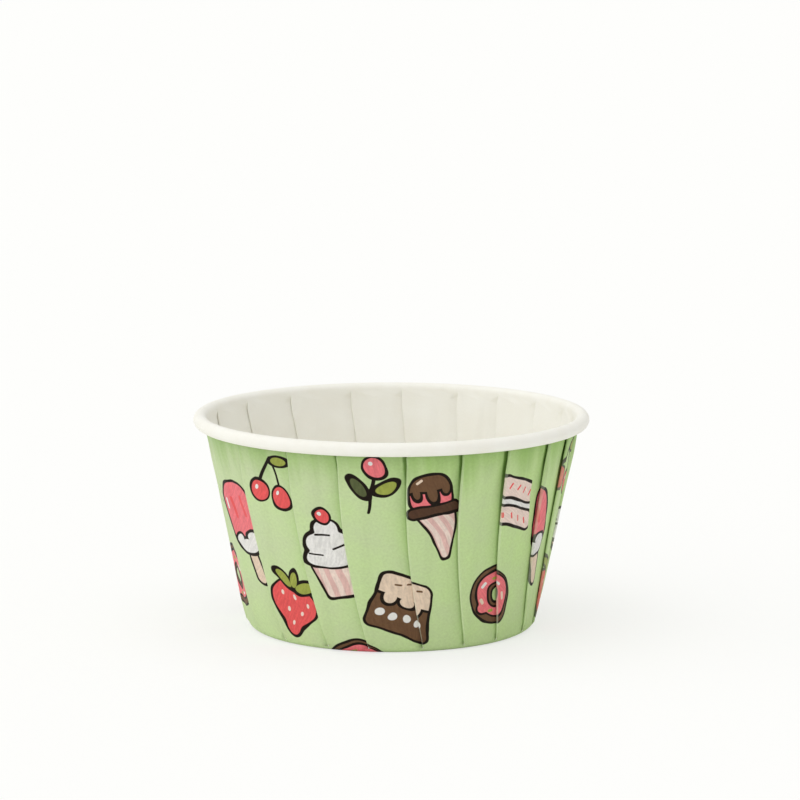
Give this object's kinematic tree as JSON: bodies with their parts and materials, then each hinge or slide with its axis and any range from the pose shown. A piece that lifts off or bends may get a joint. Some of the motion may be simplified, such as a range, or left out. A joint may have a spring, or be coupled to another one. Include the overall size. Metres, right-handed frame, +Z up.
{
  "type": "paper baking cup",
  "caption": "Round paper baking cup with a flat floor, a tapered wall of pressed pleats and an edge rolled outwards into a bead, printed on the outside.",
  "frame": {"origin": "middle of the floor's underside, on the cup's axis", "axes": "+Z up the cup's axis, out of its mouth; -Y towards the viewer of the picture"},
  "size_m": [0.07, 0.07, 0.0382],
  "materials": {
    "printed_paper": "satin greaseproof paper, green print outside, white inside and on the rolled edge"
  },
  "bodies": {
    "root": {"baking_cup": "printed_paper"}
  },
  "joints": []
}
